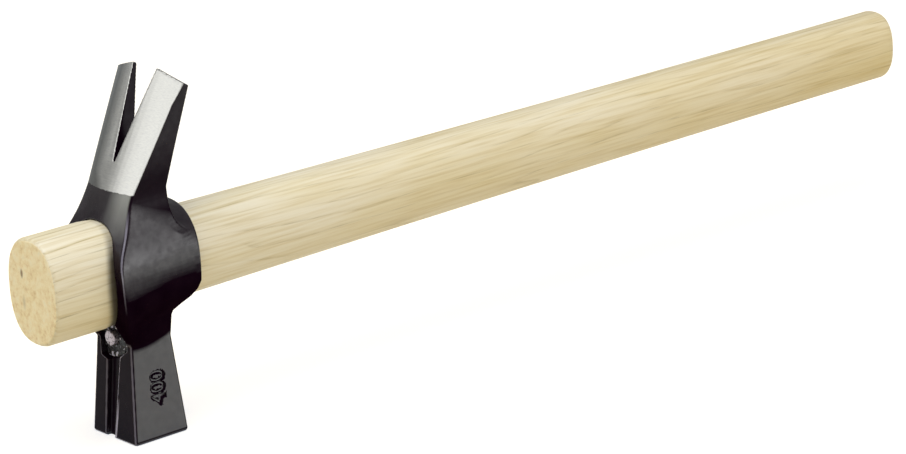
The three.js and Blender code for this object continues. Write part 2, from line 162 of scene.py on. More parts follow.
def linear(code):
    """The linear colour of a six-figure sRGB code, by the curve of the sRGB standard."""
    channels = [int(code[place:place + 2], 16) / 255 for place in (0, 2, 4)]
    return [c / 12.92 if c <= 0.04045 else ((c + 0.055) / 1.055) ** 2.4 for c in channels] + [1]


def add_node(tree, kind, inputs=(), stops=(), **settings):
    """Adds a node to a tree with its settings. An input, by its name or number, is linked to a socket or
    holds a value. A Mix node takes its two numbers at 2 and 3, its vectors at 4 and 5, and its colours
    at 6 and 7."""
    node = tree.nodes.new("ShaderNode" + kind)
    for name, value in settings.items():
        setattr(node, name, value)
    for place, (position, colour) in enumerate(stops):
        if place > 1:
            node.color_ramp.elements.new(position)
        node.color_ramp.elements[place].position = position
        node.color_ramp.elements[place].color = linear(colour)
    for name, value in dict(inputs).items():
        if isinstance(value, bpy.types.NodeSocket):
            tree.links.new(value, node.inputs[name])
        else:
            node.inputs[name].default_value = value
    return node


def new_material(name):
    """A node material with no nodes in it yet. Returns the material and its tree."""
    material = bpy.data.materials.new(name)
    material.use_nodes = True
    material.node_tree.nodes.clear()
    return material, material.node_tree


def place_in_mm(tree):
    """Where a point of the piece is, in millimetres, for patterns that have a real size."""
    in_metres = add_node(tree, "TexCoord")
    in_mm = add_node(
        tree, "VectorMath", {0: in_metres.outputs["Object"], "Scale": 1 / MM}, operation="SCALE"
    )
    return in_mm.outputs[0]


def scale_for(x, y, z):
    """The scale that makes a pattern's features about that big along each axis, in millimetres."""
    return (1 / x, 1 / y, 1 / z)


# Black lacquer on forged steel: a thin coat that is almost black, with a violet cast, half gloss,
# over the slight unevenness of the forging. The ground front of the claws is bare steel with belt marks.
# Sizes and places are in millimetres, and heights are counted from the striking face. CLAW_FRONT is the
# way that the claws' front faces. Its grinding stops at GRIND_HEIGHT, give or take half of the wobble.
CLAW_FRONT = Vector((-0.894, 0, 0.447))
GRIND_HEIGHT = 92.9
GRIND_WOBBLE = 0.9
WOBBLE_LENGTH = 1.667
PEEL_WIDTH = 1.43
FORGED_WAVE_WIDTH = 9.09
BLOTCH_WIDTH = 2.86
# The greys of the painted sheen on the neck and of the painted highlight lines along the edges
PAINTED_SHEEN_GREY = "bcc0ba"
EDGE_HIGHLIGHT_GREY = "cac7de"
lacquered, tree = new_material("black_lacquered_forged_steel")
in_mm = place_in_mm(tree)
place = add_node(tree, "SeparateXYZ", {0: in_mm})
surface = add_node(tree, "NewGeometry")
normal_parts = add_node(tree, "SeparateXYZ", {0: surface.outputs["Normal"]})
sideways = add_node(tree, "Math", {0: normal_parts.outputs["Y"]}, operation="ABSOLUTE")
towards_front = add_node(
    tree, "VectorMath", {0: surface.outputs["Normal"], 1: CLAW_FRONT}, operation="DOT_PRODUCT"
)
facing = add_node(
    tree, "MapRange", {"Value": towards_front.outputs["Value"], "From Min": 0.7, "From Max": 0.76}
)
# The grinding stops at a nearly straight line across the claws' root
wobble = add_node(tree, "TexNoise", {"Vector": in_mm, "Scale": 1 / WOBBLE_LENGTH, "Detail": 2})
line_height = add_node(
    tree,
    "Math",
    {0: wobble.outputs["Fac"], 1: GRIND_WOBBLE, 2: place.outputs["Z"]},
    operation="MULTIPLY_ADD",
)
above_line = add_node(
    tree,
    "MapRange",
    {
        "Value": line_height.outputs[0],
        "From Min": GRIND_HEIGHT + GRIND_WOBBLE / 2 - 0.1,
        "From Max": GRIND_HEIGHT + GRIND_WOBBLE / 2 + 0.1,
    },
)
# It has taken the claws' outer corners too, most at the tips, so that the dark cheeks run to a point.
# It hasn't reached the claws' backs or the walls of the nail slot.
front_depth = add_node(tree, "VectorMath", {0: in_mm, 1: -CLAW_FRONT}, operation="DOT_PRODUCT")
corner_width = add_node(
    tree,
    "MapRange",
    {"Value": place.outputs["Z"], "From Min": 94, "From Max": 122, "To Min": -45.9, "To Max": -45.1},
)
tip_width = add_node(
    tree, "MapRange", {"Value": place.outputs["Z"], "From Min": 123, "From Max": 131, "To Max": 1.3}
)
corner_depth = add_node(
    tree, "Math", {0: corner_width.outputs[0], 1: tip_width.outputs[0]}, operation="ADD"
)
past_corner = add_node(
    tree, "Math", {0: front_depth.outputs["Value"], 1: corner_depth.outputs[0]}, operation="SUBTRACT"
)
ground_corner = add_node(
    tree, "MapRange", {"Value": past_corner.outputs[0], "From Min": 0.12, "From Max": -0.12}
)
from_middle = add_node(tree, "Math", {0: place.outputs["Y"]}, operation="ABSOLUTE")
outer_part = add_node(
    tree, "MapRange", {"Value": from_middle.outputs[0], "From Min": 7, "From Max": 8}
)
beside_tip = add_node(
    tree, "MapRange", {"Value": sideways.outputs[0], "From Min": 0.17, "From Max": 0.3}
)
not_behind = add_node(
    tree, "MapRange", {"Value": normal_parts.outputs["X"], "From Min": 0.6, "From Max": 0.4}
)
outer_corner = ground_corner
for part in (outer_part, beside_tip, not_behind):
    outer_corner = add_node(
        tree, "Math", {0: outer_corner.outputs[0], 1: part.outputs[0]}, operation="MULTIPLY"
    )
belt_reach = add_node(
    tree, "Math", {0: facing.outputs[0], 1: outer_corner.outputs[0]}, operation="MAXIMUM"
)
ground = add_node(
    tree, "Math", {0: belt_reach.outputs[0], 1: above_line.outputs[0]}, operation="MULTIPLY"
)
# Belt marks run across the claws, about 0.3 mm apart, coarser than real ones so that they show
belt_place = add_node(
    tree, "VectorMath", {0: in_mm, 1: scale_for(0.3125, 4, 0.3125)}, operation="MULTIPLY"
)
belt = add_node(tree, "TexNoise", {"Vector": belt_place.outputs[0], "Scale": 1, "Detail": 3})
# The lacquer has an orange peel, the forging is uneven under it, and the lacquer ran down in streaks
# about 1 mm wide and 20 mm long
peel = add_node(tree, "TexNoise", {"Vector": in_mm, "Scale": 1 / PEEL_WIDTH, "Detail": 3})
uneven = add_node(tree, "TexNoise", {"Vector": in_mm, "Scale": 1 / FORGED_WAVE_WIDTH, "Detail": 2})
drag_place = add_node(
    tree, "VectorMath", {0: in_mm, 1: scale_for(1.11, 1.11, 20)}, operation="MULTIPLY"
)
drag = add_node(tree, "TexNoise", {"Vector": drag_place.outputs[0], "Scale": 1, "Detail": 2})
lacquer_colour = add_node(
    tree,
    "ValToRGB",
    {"Fac": uneven.outputs["Fac"]},
    stops=[(0.3, "0f030f"), (0.5, "130613"), (0.72, "180b17")],
)
steel_colour = add_node(
    tree,
    "ValToRGB",
    {"Fac": belt.outputs["Fac"]},
    stops=[(0.25, "c3c3c0"), (0.5, "cfcfca"), (0.8, "dadad4")],
)
# Painted light on the far claw's ground steel: painted shade darkens its outer edge, and a painted
# highlight brightens the crown of its middle above the slot
shade_line_high = add_node(
    tree, "Math", {0: place.outputs["Z"], 1: 0.13, 2: -7}, operation="MULTIPLY_ADD"
)
shade_line_low = add_node(
    tree, "Math", {0: place.outputs["Z"], 1: 0.9, 2: -82.55}, operation="MULTIPLY_ADD"
)
shade_from = add_node(
    tree, "Math", {0: shade_line_high.outputs[0], 1: shade_line_low.outputs[0]}, operation="MINIMUM"
)
past_middle = add_node(
    tree, "Math", {0: place.outputs["Y"], 1: shade_from.outputs[0]}, operation="SUBTRACT"
)
painted_edge_shade = add_node(
    tree, "MapRange", {"Value": past_middle.outputs[0], "From Max": 4.6, "To Min": 1, "To Max": 0.44}
)
from_crown = add_node(tree, "Math", {0: past_middle.outputs[0], 1: 2.5}, operation="ADD")
crown_distance = add_node(tree, "Math", {0: from_crown.outputs[0]}, operation="ABSOLUTE")
painted_crown_highlight = add_node(
    tree, "MapRange", {"Value": crown_distance.outputs[0], "From Min": 3, "From Max": 0, "To Max": 0.4}
)
above_slot = add_node(
    tree, "MapRange", {"Value": place.outputs["Z"], "From Min": 99, "From Max": 104}
)
painted_highlight_level = add_node(
    tree, "Math", {0: painted_crown_highlight.outputs[0], 1: above_slot.outputs[0], 2: 1}, operation="MULTIPLY_ADD"
)
painted_light_level = add_node(
    tree, "Math", {0: painted_highlight_level.outputs[0], 1: painted_edge_shade.outputs[0]}, operation="MULTIPLY"
)
shaded_steel = add_node(
    tree, "VectorMath", {0: steel_colour.outputs[0], "Scale": painted_light_level.outputs[0]}, operation="SCALE"
)
# Pale lines are painted along the sharp edges of the groove and along the block's front edge: painted
# highlights where these edges catch the light.
# These are the narrow faces below the eye that turn from the front to a side.
edge_inner = add_node(
    tree, "MapRange", {"Value": normal_parts.outputs["X"], "From Min": -0.6, "From Max": -0.72}
)
edge_outer = add_node(
    tree, "MapRange", {"Value": normal_parts.outputs["X"], "From Min": -0.985, "From Max": -0.95}
)
front_line = add_node(
    tree,
    "Math",
    {0: place.outputs["Z"], 1: -FRONT_SLOPE, 2: place.outputs["X"]},
    operation="MULTIPLY_ADD",
)
near_front = add_node(
    tree, "MapRange", {"Value": front_line.outputs[0], "From Min": -10.6, "From Max": -11}
)
below_eye = add_node(
    tree, "MapRange", {"Value": place.outputs["Z"], "From Min": 38, "From Max": BLOCK_HEIGHT}
)
below_pocket = add_node(
    tree, "MapRange", {"Value": place.outputs["Z"], "From Min": 33, "From Max": 30.5, "To Min": 0.2}
)
edge_highlight_side = add_node(
    tree,
    "MapRange",
    {
        "Value": normal_parts.outputs["Y"],
        "From Min": -0.1,
        "From Max": 0.1,
        "To Min": 0.22,
        "To Max": below_pocket.outputs[0],
    },
)
edge_line_highlight = edge_highlight_side
for part in (edge_inner, edge_outer, near_front, below_eye):
    edge_line_highlight = add_node(tree, "Math", {0: edge_line_highlight.outputs[0], 1: part.outputs[0]}, operation="MULTIPLY")
# A painted highlight line runs along the eye's front rim, where the boss turns into it
rim_inner = add_node(
    tree, "MapRange", {"Value": sideways.outputs[0], "From Min": 0.45, "From Max": 0.55}
)
rim_outer = add_node(
    tree, "MapRange", {"Value": sideways.outputs[0], "From Min": 0.9, "From Max": 0.8}
)
rim_front = add_node(
    tree, "MapRange", {"Value": normal_parts.outputs["X"], "From Min": -0.3, "From Max": -0.45}
)
rim_low = add_node(
    tree, "MapRange", {"Value": place.outputs["Z"], "From Min": 52, "From Max": 66}
)
rim_high = add_node(
    tree, "MapRange", {"Value": place.outputs["Z"], "From Min": 88, "From Max": 82, "To Max": 0.3}
)
rim_highlight = rim_inner
for part in (rim_outer, rim_front, rim_low, rim_high):
    rim_highlight = add_node(tree, "Math", {0: rim_highlight.outputs[0], 1: part.outputs[0]}, operation="MULTIPLY")
# A painted highlight runs as a pale band beside the foot of the groove, along its edge, strongest low
# down
band_middle = add_node(
    tree, "Math", {0: place.outputs["Z"], 1: 0.127, 2: place.outputs["Y"]}, operation="MULTIPLY_ADD"
)
from_band = add_node(tree, "Math", {0: band_middle.outputs[0], 1: 0.85}, operation="ADD")
band_distance = add_node(tree, "Math", {0: from_band.outputs[0]}, operation="ABSOLUTE")
in_band = add_node(
    tree, "MapRange", {"Value": band_distance.outputs[0], "From Min": 0.6, "From Max": 0.25}
)
band_low = add_node(
    tree, "MapRange", {"Value": place.outputs["Z"], "From Min": 16, "From Max": 8, "To Max": 0.8}
)
band_front = add_node(
    tree, "MapRange", {"Value": normal_parts.outputs["X"], "From Min": -0.6, "From Max": -0.8}
)
groove_foot_highlight = in_band
for part in (band_low, band_front, near_front):
    groove_foot_highlight = add_node(tree, "Math", {0: groove_foot_highlight.outputs[0], 1: part.outputs[0]}, operation="MULTIPLY")
# A soft painted sheen lies on the neck's front above the eye, strongest towards the -Y side
painted_sheen_side = add_node(
    tree,
    "MapRange",
    {"Value": place.outputs["Y"], "From Min": -3, "From Max": -10, "To Min": 0.04, "To Max": 0.45},
)
painted_sheen_height = add_node(
    tree, "MapRange", {"Value": place.outputs["Z"], "From Min": 77, "From Max": 92}
)
painted_sheen = band_front
for part in (painted_sheen_side, painted_sheen_height):
    painted_sheen = add_node(tree, "Math", {0: painted_sheen.outputs[0], 1: part.outputs[0]}, operation="MULTIPLY")
all_edge_highlights = edge_line_highlight
for part in (rim_highlight, groove_foot_highlight):
    all_edge_highlights = add_node(tree, "Math", {0: all_edge_highlights.outputs[0], 1: part.outputs[0]}, operation="MAXIMUM")
# The painted sheen and the painted highlight lines are mixed into the lacquer's colour
painted_sheen_colour = add_node(
    tree,
    "Mix",
    {"Factor": painted_sheen.outputs[0], 6: lacquer_colour.outputs[0], 7: linear(PAINTED_SHEEN_GREY)},
    data_type="RGBA",
)
edge_highlight_colour = add_node(
    tree,
    "Mix",
    {"Factor": all_edge_highlights.outputs[0], 6: painted_sheen_colour.outputs[2], 7: linear(EDGE_HIGHLIGHT_GREY)},
    data_type="RGBA",
)
colour = add_node(
    tree,
    "Mix",
    {"Factor": ground.outputs[0], 6: edge_highlight_colour.outputs[2], 7: shaded_steel.outputs[0]},
    data_type="RGBA",
)
lacquer_roughness = add_node(
    tree,
    "MapRange",
    {"Value": drag.outputs["Fac"], "From Min": 0.3, "From Max": 0.7, "To Min": 0.24, "To Max": 0.32},
)
steel_roughness = add_node(
    tree,
    "MapRange",
    {"Value": belt.outputs["Fac"], "From Min": 0.3, "From Max": 0.7, "To Min": 0.28, "To Max": 0.34},
)
roughness = add_node(
    tree,
    "Mix",
    {0: ground.outputs[0], 2: lacquer_roughness.outputs[0], 3: steel_roughness.outputs[0]},
)
# The lacquer's gloss changes over the head, because it drained while it was wet. It set level and fully
# glossy on the block's flat cheeks, up to the curve where they run into the neck.
flat_side = add_node(
    tree, "MapRange", {"Value": sideways.outputs[0], "From Min": 0.93, "From Max": 0.985}
)
block_slope = add_node(
    tree, "Math", {0: place.outputs["X"], 1: -0.018, 2: -0.184}, operation="MULTIPLY_ADD"
)
block_line = add_node(
    tree,
    "Math",
    {0: place.outputs["X"], 1: block_slope.outputs[0], 2: place.outputs["Z"]},
    operation="MULTIPLY_ADD",
)
on_block = add_node(
    tree, "MapRange", {"Value": block_line.outputs[0], "From Min": 35.9, "From Max": 34.3}
)
above_bevel = add_node(
    tree, "MapRange", {"Value": place.outputs["Z"], "From Min": 1.35, "From Max": 1.75}
)
block_gloss = flat_side
for part in (on_block, above_bevel):
    block_gloss = add_node(
        tree, "Math", {0: block_gloss.outputs[0], 1: part.outputs[0]}, operation="MULTIPLY"
    )
# On the boss it is glossy from the widest line upwards, most just above that line, and thin and dull
# below it
round_side = add_node(
    tree, "MapRange", {"Value": sideways.outputs[0], "From Min": 0.45, "From Max": 0.62}
)
dull_below = add_node(
    tree,
    "MapRange",
    {"Value": place.outputs["X"], "From Min": -12, "From Max": 6, "To Min": -0.09, "To Max": -0.03},
)
full_above = add_node(
    tree,
    "MapRange",
    {"Value": place.outputs["X"], "From Min": -12, "From Max": 6, "To Min": 0.11, "To Max": 0.07},
)
not_below = add_node(
    tree,
    "MapRange",
    {
        "Value": normal_parts.outputs["Z"],
        "From Min": dull_below.outputs[0],
        "From Max": full_above.outputs[0],
    },
)
above_level = add_node(
    tree,
    "MapRange",
    {"Value": place.outputs["X"], "From Min": -10, "From Max": 8, "To Min": 0.5, "To Max": 0.3},
)
less_above = add_node(
    tree,
    "MapRange",
    {
        "Value": normal_parts.outputs["Z"],
        "From Min": 0.05,
        "From Max": 0.3,
        "To Min": 0.85,
        "To Max": above_level.outputs[0],
    },
)
neck_line = add_node(
    tree, "Math", {0: place.outputs["X"], 1: 0.45, 2: place.outputs["Z"]}, operation="MULTIPLY_ADD"
)
below_neck = add_node(
    tree, "MapRange", {"Value": neck_line.outputs[0], "From Min": 88.5, "From Max": 82}
)
on_boss = add_node(
    tree, "MapRange", {"Value": place.outputs["Z"], "From Min": 38, "From Max": 42}
)
boss_gloss = round_side
for part in (not_below, below_neck, on_boss, less_above):
    boss_gloss = add_node(
        tree, "Math", {0: boss_gloss.outputs[0], 1: part.outputs[0]}, operation="MULTIPLY"
    )
# What faces along the handle is half glossy from the top of the eye upwards, and on the block nearly dull
endways = add_node(tree, "Math", {0: normal_parts.outputs["X"]}, operation="ABSOLUTE")
facing_along = add_node(
    tree, "MapRange", {"Value": endways.outputs[0], "From Min": 0.5, "From Max": 0.8}
)
along_high = add_node(
    tree, "MapRange", {"Value": place.outputs["Z"], "From Min": 61, "From Max": 80, "To Max": 0.52}
)
along_low = add_node(
    tree, "MapRange", {"Value": place.outputs["Z"], "From Min": 38, "From Max": 34, "To Max": 0.12}
)
along_level = add_node(
    tree, "Math", {0: along_high.outputs[0], 1: along_low.outputs[0]}, operation="ADD"
)
along_gloss = add_node(
    tree, "Math", {0: facing_along.outputs[0], 1: along_level.outputs[0]}, operation="MULTIPLY"
)
# The claws' dark cheeks are nearly dull at their root and gain some gloss towards the tips
neck_gloss = add_node(
    tree, "MapRange", {"Value": place.outputs["Z"], "From Min": 84, "From Max": 88, "To Max": 0.07}
)
tip_gloss = add_node(
    tree, "MapRange", {"Value": place.outputs["Z"], "From Min": 92, "From Max": 112, "To Max": 0.27}
)
claw_gloss = add_node(
    tree, "Math", {0: neck_gloss.outputs[0], 1: tip_gloss.outputs[0]}, operation="MAXIMUM"
)
# The walls of the nail slot are duller than the claws' outer cheeks and backs
wall_gloss = add_node(
    tree,
    "MapRange",
    {"Value": sideways.outputs[0], "From Min": 0.4, "From Max": 0.7, "To Min": 1, "To Max": 0.3},
)
outer_cheek = add_node(
    tree,
    "MapRange",
    {"Value": from_middle.outputs[0], "From Min": 8, "From Max": 10, "To Min": wall_gloss.outputs[0]},
)
cheek_gloss = add_node(
    tree, "Math", {0: claw_gloss.outputs[0], 1: outer_cheek.outputs[0]}, operation="MULTIPLY"
)
# The bevel round the striking face shows as a grey band between two dark lines
bevel_height = add_node(
    tree, "MapRange", {"Value": place.outputs["Z"], "From Min": 1.2, "From Max": 1, "To Max": 0.5}
)
bevel_gloss = add_node(
    tree, "Math", {0: bevel_height.outputs[0], 1: round_side.outputs[0]}, operation="MULTIPLY"
)
# What looks up behind the middle of the head, such as the boss's shoulder and the heel, is fully glossy
shoulder = add_node(
    tree, "MapRange", {"Value": normal_parts.outputs["Z"], "From Min": 0.3, "From Max": 0.5}
)
behind = add_node(
    tree, "MapRange", {"Value": place.outputs["X"], "From Min": 4, "From Max": 9}
)
shoulder_gloss = add_node(
    tree, "Math", {0: shoulder.outputs[0], 1: behind.outputs[0]}, operation="MULTIPLY"
)
gloss = cheek_gloss
for part in (bevel_gloss, block_gloss, boss_gloss, along_gloss, shoulder_gloss):
    gloss = add_node(tree, "Math", {0: gloss.outputs[0], 1: part.outputs[0]}, operation="MAXIMUM")
# Where the lacquer soaked into the scale it is blotchy, least on the block
blotch = add_node(tree, "TexNoise", {"Vector": in_mm, "Scale": 1 / BLOTCH_WIDTH, "Detail": 4})
blotch_level = add_node(
    tree,
    "MapRange",
    {"Value": blotch.outputs["Fac"], "From Min": 0.3, "From Max": 0.7, "To Min": -0.2, "To Max": 0.2},
)
blotch_height = add_node(
    tree, "MapRange", {"Value": place.outputs["Z"], "From Min": 30, "From Max": 40, "To Min": 0.35}
)
blotch_share = add_node(
    tree,
    "Math",
    {0: blotch_level.outputs[0], 1: blotch_height.outputs[0], 2: 1},
    operation="MULTIPLY_ADD",
)
blotched_gloss = add_node(
    tree, "Math", {0: gloss.outputs[0], 1: blotch_share.outputs[0]}, operation="MULTIPLY"
)
lacquer_gloss = add_node(tree, "Mix", {0: ground.outputs[0], 2: blotched_gloss.outputs[0], 3: 0})
# The forging is uneven by about 0.1 mm, and the peel and the belt marks by about 0.01 mm
peel_relief = add_node(tree, "Math", {0: peel.outputs["Fac"], 1: 0.012}, operation="MULTIPLY")
relief = add_node(
    tree,
    "Math",
    {0: uneven.outputs["Fac"], 1: 0.12, 2: peel_relief.outputs[0]},
    operation="MULTIPLY_ADD",
)
belt_relief = add_node(tree, "Math", {0: belt.outputs["Fac"], 1: 0.006}, operation="MULTIPLY")
relief_here = add_node(
    tree, "Mix", {0: ground.outputs[0], 2: relief.outputs[0], 3: belt_relief.outputs[0]}
)
# On the ground corner the belt left no edge, so it shines like the front that it runs into
turned = add_node(
    tree, "MapRange", {"Value": towards_front.outputs["Value"], "From Min": 0.94, "From Max": 0.88}
)
for part in (outer_corner, above_line):
    turned = add_node(
        tree, "Math", {0: turned.outputs[0], 1: part.outputs[0]}, operation="MULTIPLY"
    )
sideways_turn = add_node(
    tree,
    "MapRange",
    {"Value": place.outputs["Y"], "From Min": -8, "From Max": 8, "To Min": -0.27, "To Max": 0.27},
)
front_way = add_node(tree, "CombineXYZ", {0: -0.86, 1: sideways_turn.outputs[0], 2: 0.43})
even_normal = add_node(
    tree,
    "Mix",
    {"Factor": turned.outputs[0], 4: surface.outputs["Normal"], 5: front_way.outputs[0]},
    data_type="VECTOR",
)
bump = add_node(
    tree,
    "Bump",
    {
        "Height": relief_here.outputs[0],
        "Distance": MM,
        "Strength": 1,
        "Normal": even_normal.outputs[1],
    },
)
# All gloss of the lacquer comes from its coat, whose IOR is a little over a lacquer's usual 1.5 to match
skin = add_node(
    tree,
    "BsdfPrincipled",
    {
        "Base Color": colour.outputs[2],
        "Metallic": ground.outputs[0],
        "Roughness": roughness.outputs[0],
        "Specular IOR Level": 0,
        "Coat Weight": lacquer_gloss.outputs[0],
        "Coat Roughness": 0.24,
        "Coat IOR": 1.7,
        "Normal": bump.outputs[0],
        "Coat Normal": bump.outputs[0],
    },
)
add_node(tree, "OutputMaterial", {"Surface": skin.outputs[0]})
head.data.materials.append(lacquered)
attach(head, "root")
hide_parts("head")


# Handle: one ash stick of oval section, shaped on a copying lathe and sanded, fatter at the head than at
# the grip, and pushed through the eye from the front so that its stub stands out. Its ends are sawn
# square, the stub's rim broken and the butt's rim rounded.

# The solid gives the handle's ends and the height of its middle line, in millimetres
solid_corners = [vertex.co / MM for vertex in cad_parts["handle"].data.vertices]
STUB_END = min(corner.x for corner in solid_corners)
BUTT_END = max(corner.x for corner in solid_corners)
LOWEST = min(corner.z for corner in solid_corners)
HIGHEST = max(corner.z for corner in solid_corners)
MIDDLE_HEIGHT = (LOWEST + HIGHEST) / 2
# The eye's ends, and how tall the section is at the stub, at the wrist behind the head and at the grip
EYE_FRONT = -17.3
EYE_REAR = 19.4
STUB_HEIGHT = 39.4
WRIST_HEIGHT = 32.9
GRIP_HEIGHT = 28.4
# The section's width is a share of its height. Its squareness is 2 for an ellipse, and more is squarer.
# The shaft thins with a power of what is left of its length: fast behind the wrist, slowly at the grip.
WIDTH_SHARE = 0.757
SQUARENESS = 2.37
WAIST_POWER = 1.9
# The stub's broken rim: places behind its sawn end, and how far the section is drawn in there
STUB_RIM = [(0, 1.15), (0.25, 0.7), (0.8, 0.25), (1.6, 0)]
BUTT_ROUNDING = 3
BUTT_STEPS = 5
ROUND_SIDES = 144
LENGTH_STEPS = 90


def half_height(along):
    """Half the handle's height, in millimetres, at a place along it."""
    if along <= EYE_FRONT:
        return STUB_HEIGHT / 2
    if along <= EYE_REAR:
        share = (along - EYE_FRONT) / (EYE_REAR - EYE_FRONT)
        return (STUB_HEIGHT + share * (WRIST_HEIGHT - STUB_HEIGHT)) / 2
    left = max(0, (BUTT_END - along) / (BUTT_END - EYE_REAR))
    return (GRIP_HEIGHT + (WRIST_HEIGHT - GRIP_HEIGHT) * left**WAIST_POWER) / 2


def oval(along, inset=0):
    """The corners of the handle's section, in metres. An inset draws it in all round."""
    tall = half_height(along) - inset
    wide = WIDTH_SHARE * half_height(along) - inset
    corners = []
    for step in range(ROUND_SIDES):
        turn = 2 * math.pi * step / ROUND_SIDES
        across = math.copysign(abs(math.cos(turn)) ** (2 / SQUARENESS), math.cos(turn))
        up = math.copysign(abs(math.sin(turn)) ** (2 / SQUARENESS), math.sin(turn))
        corners.append((along * MM, wide * across * MM, (MIDDLE_HEIGHT + tall * up) * MM))
    return corners


def loft(name, rings):
    """A closed mesh through rings of corners, with its two ends filled."""
    sides = len(rings[0])
    corners = [corner for ring in rings for corner in ring]
    faces = [list(range(sides))[::-1]]
    for ring in range(len(rings) - 1):
        for side in range(sides):
            following = (side + 1) % sides
            faces.append(
                [
                    ring * sides + side,
                    ring * sides + following,
                    (ring + 1) * sides + following,
                    (ring + 1) * sides + side,
                ]
            )
    faces.append([(len(rings) - 1) * sides + side for side in range(sides)])
    mesh = bpy.data.meshes.new(name)
    mesh.from_pydata(corners, [], faces)
    form = bmesh.new()
    form.from_mesh(mesh)
    bmesh.ops.recalc_face_normals(form, faces=form.faces)
    form.to_mesh(mesh)
    form.free()
    return mesh


rings = [oval(STUB_END + behind, inset) for behind, inset in STUB_RIM]
rings += [oval(place_along) for place_along in (EYE_FRONT, 0, EYE_REAR)]
rounding_start = BUTT_END - BUTT_ROUNDING
for step in range(1, LENGTH_STEPS):
    rings.append(oval(EYE_REAR + (rounding_start - EYE_REAR) * step / LENGTH_STEPS))
for step in range(BUTT_STEPS + 1):
    turn = math.radians(90) * step / BUTT_STEPS
    drawn_in = BUTT_ROUNDING * (1 - math.cos(turn))
    rings.append(oval(rounding_start + BUTT_ROUNDING * math.sin(turn), drawn_in))
handle = put_in_scene("handle_ash", loft("handle_ash", rings))
for polygon in handle.data.polygons:
    polygon.use_smooth = len(polygon.vertices) == 4

# Ash, sanded and thinly varnished: satin, pale cream wood with yearly rings about 3.4 mm wide. Each
# starts with a band of open pores that shows as fine grey-brown dashes, and as dots on the sawn ends.
# Places and sizes are in millimetres. The pith of the tree lay outside the stick, below and beside it,
# and the rings run almost along it: RING_RUN is what a millimetre along the stick counts across them.
RING_WIDTH = 3.4
RING_RUN = 0.012
PITH = (0, -34, 28)
GRAIN_WANDER = 16
YEAR_UNEVENNESS = 7
# The eye's mouth, where painted shade and soiling darken the wood, falls back from its foremost height
# with the height's square
MOUTH_MIDDLE = 62
MOUTH_CURVE = 0.0115
SPECKLE_WIDTH = 2.38
DARK_KNOT = (STUB_END, 5.5, 69.2)
FAINT_KNOT = (STUB_END, 5.3, 58.4)
RING_BROWN = "c2b183"
PORE_BROWN = "8d7d58"
GRIP_YELLOW = "ead9a2"
SHADE_AND_SOIL_BROWN = "2c2418"
KNOT_BROWN = "6e5230"
ash, tree = new_material("ash_sanded")
in_mm = place_in_mm(tree)
# The grain wanders a few millimetres over the handle's length
wander_place = add_node(
    tree, "VectorMath", {0: in_mm, 1: scale_for(167, 50, 50)}, operation="MULTIPLY"
)
wander = add_node(tree, "TexNoise", {"Vector": wander_place.outputs[0], "Scale": 1, "Detail": 1})
from_pith = add_node(tree, "VectorMath", {0: in_mm, 1: PITH}, operation="SUBTRACT")
across_grain = add_node(
    tree, "VectorMath", {0: from_pith.outputs[0], 1: (RING_RUN, 1, 1)}, operation="MULTIPLY"
)
pith_distance = add_node(tree, "VectorMath", {0: across_grain.outputs[0]}, operation="LENGTH")
wide_rings = add_node(
    tree,
    "Math",
    {0: wander.outputs["Fac"], 1: GRAIN_WANDER, 2: pith_distance.outputs["Value"]},
    operation="MULTIPLY_ADD",
)
# Good and bad years make the rings uneven by about a millimetre
uneven_place = add_node(
    tree, "VectorMath", {0: in_mm, 1: scale_for(83.3, 7.7, 7.7)}, operation="MULTIPLY"
)
uneven_years = add_node(
    tree, "TexNoise", {"Vector": uneven_place.outputs[0], "Scale": 1, "Detail": 1}
)
wandered = add_node(
    tree,
    "Math",
    {0: uneven_years.outputs["Fac"], 1: YEAR_UNEVENNESS, 2: wide_rings.outputs[0]},
    operation="MULTIPLY_ADD",
)
year = add_node(tree, "Math", {0: wandered.outputs[0], 1: RING_WIDTH}, operation="DIVIDE")
season = add_node(tree, "Math", {0: year.outputs[0]}, operation="FRACT")
early_wood = add_node(
    tree,
    "ValToRGB",
    {"Fac": season.outputs[0]},
    stops=[
        (0, "909090"),
        (0.04, "ffffff"),
        (0.14, "a0a0a0"),
        (0.28, "202020"),
        (0.93, "000000"),
        (1, "606060"),
    ],
)
# Pores: dashes about 14 mm long and 0.4 mm wide, drawn wider than real ones so that they show
pore_place = add_node(
    tree, "VectorMath", {0: in_mm, 1: scale_for(14.3, 0.385, 0.385)}, operation="MULTIPLY"
)
pore_noise = add_node(tree, "TexNoise", {"Vector": pore_place.outputs[0], "Scale": 1, "Detail": 2})
pores = add_node(
    tree, "MapRange", {"Value": pore_noise.outputs["Fac"], "From Min": 0.52, "From Max": 0.66}
)
open_pores = add_node(
    tree, "Math", {0: pores.outputs[0], 1: early_wood.outputs[0]}, operation="MULTIPLY"
)
# Fibres, and wide clouds of paler and darker wood, lie along the grain too
fibre_place = add_node(
    tree, "VectorMath", {0: in_mm, 1: scale_for(33.3, 1.11, 1.11)}, operation="MULTIPLY"
)
fibre = add_node(tree, "TexNoise", {"Vector": fibre_place.outputs[0], "Scale": 1, "Detail": 4})
cloud_place = add_node(
    tree, "VectorMath", {0: in_mm, 1: scale_for(83.3, 20, 20)}, operation="MULTIPLY"
)
cloud = add_node(tree, "TexNoise", {"Vector": cloud_place.outputs[0], "Scale": 1, "Detail": 2})
wood_ground = add_node(
    tree,
    "ValToRGB",
    {"Fac": cloud.outputs["Fac"]},
    stops=[(0.3, "e8debd"), (0.5, "ede6d0"), (0.7, "f0ebdc")],
)
fibre_tone = add_node(
    tree,
    "ValToRGB",
    {"Fac": fibre.outputs["Fac"]},
    stops=[(0.3, "e4d8b8"), (0.5, "f7f3e8"), (0.7, "ffffff")],
)
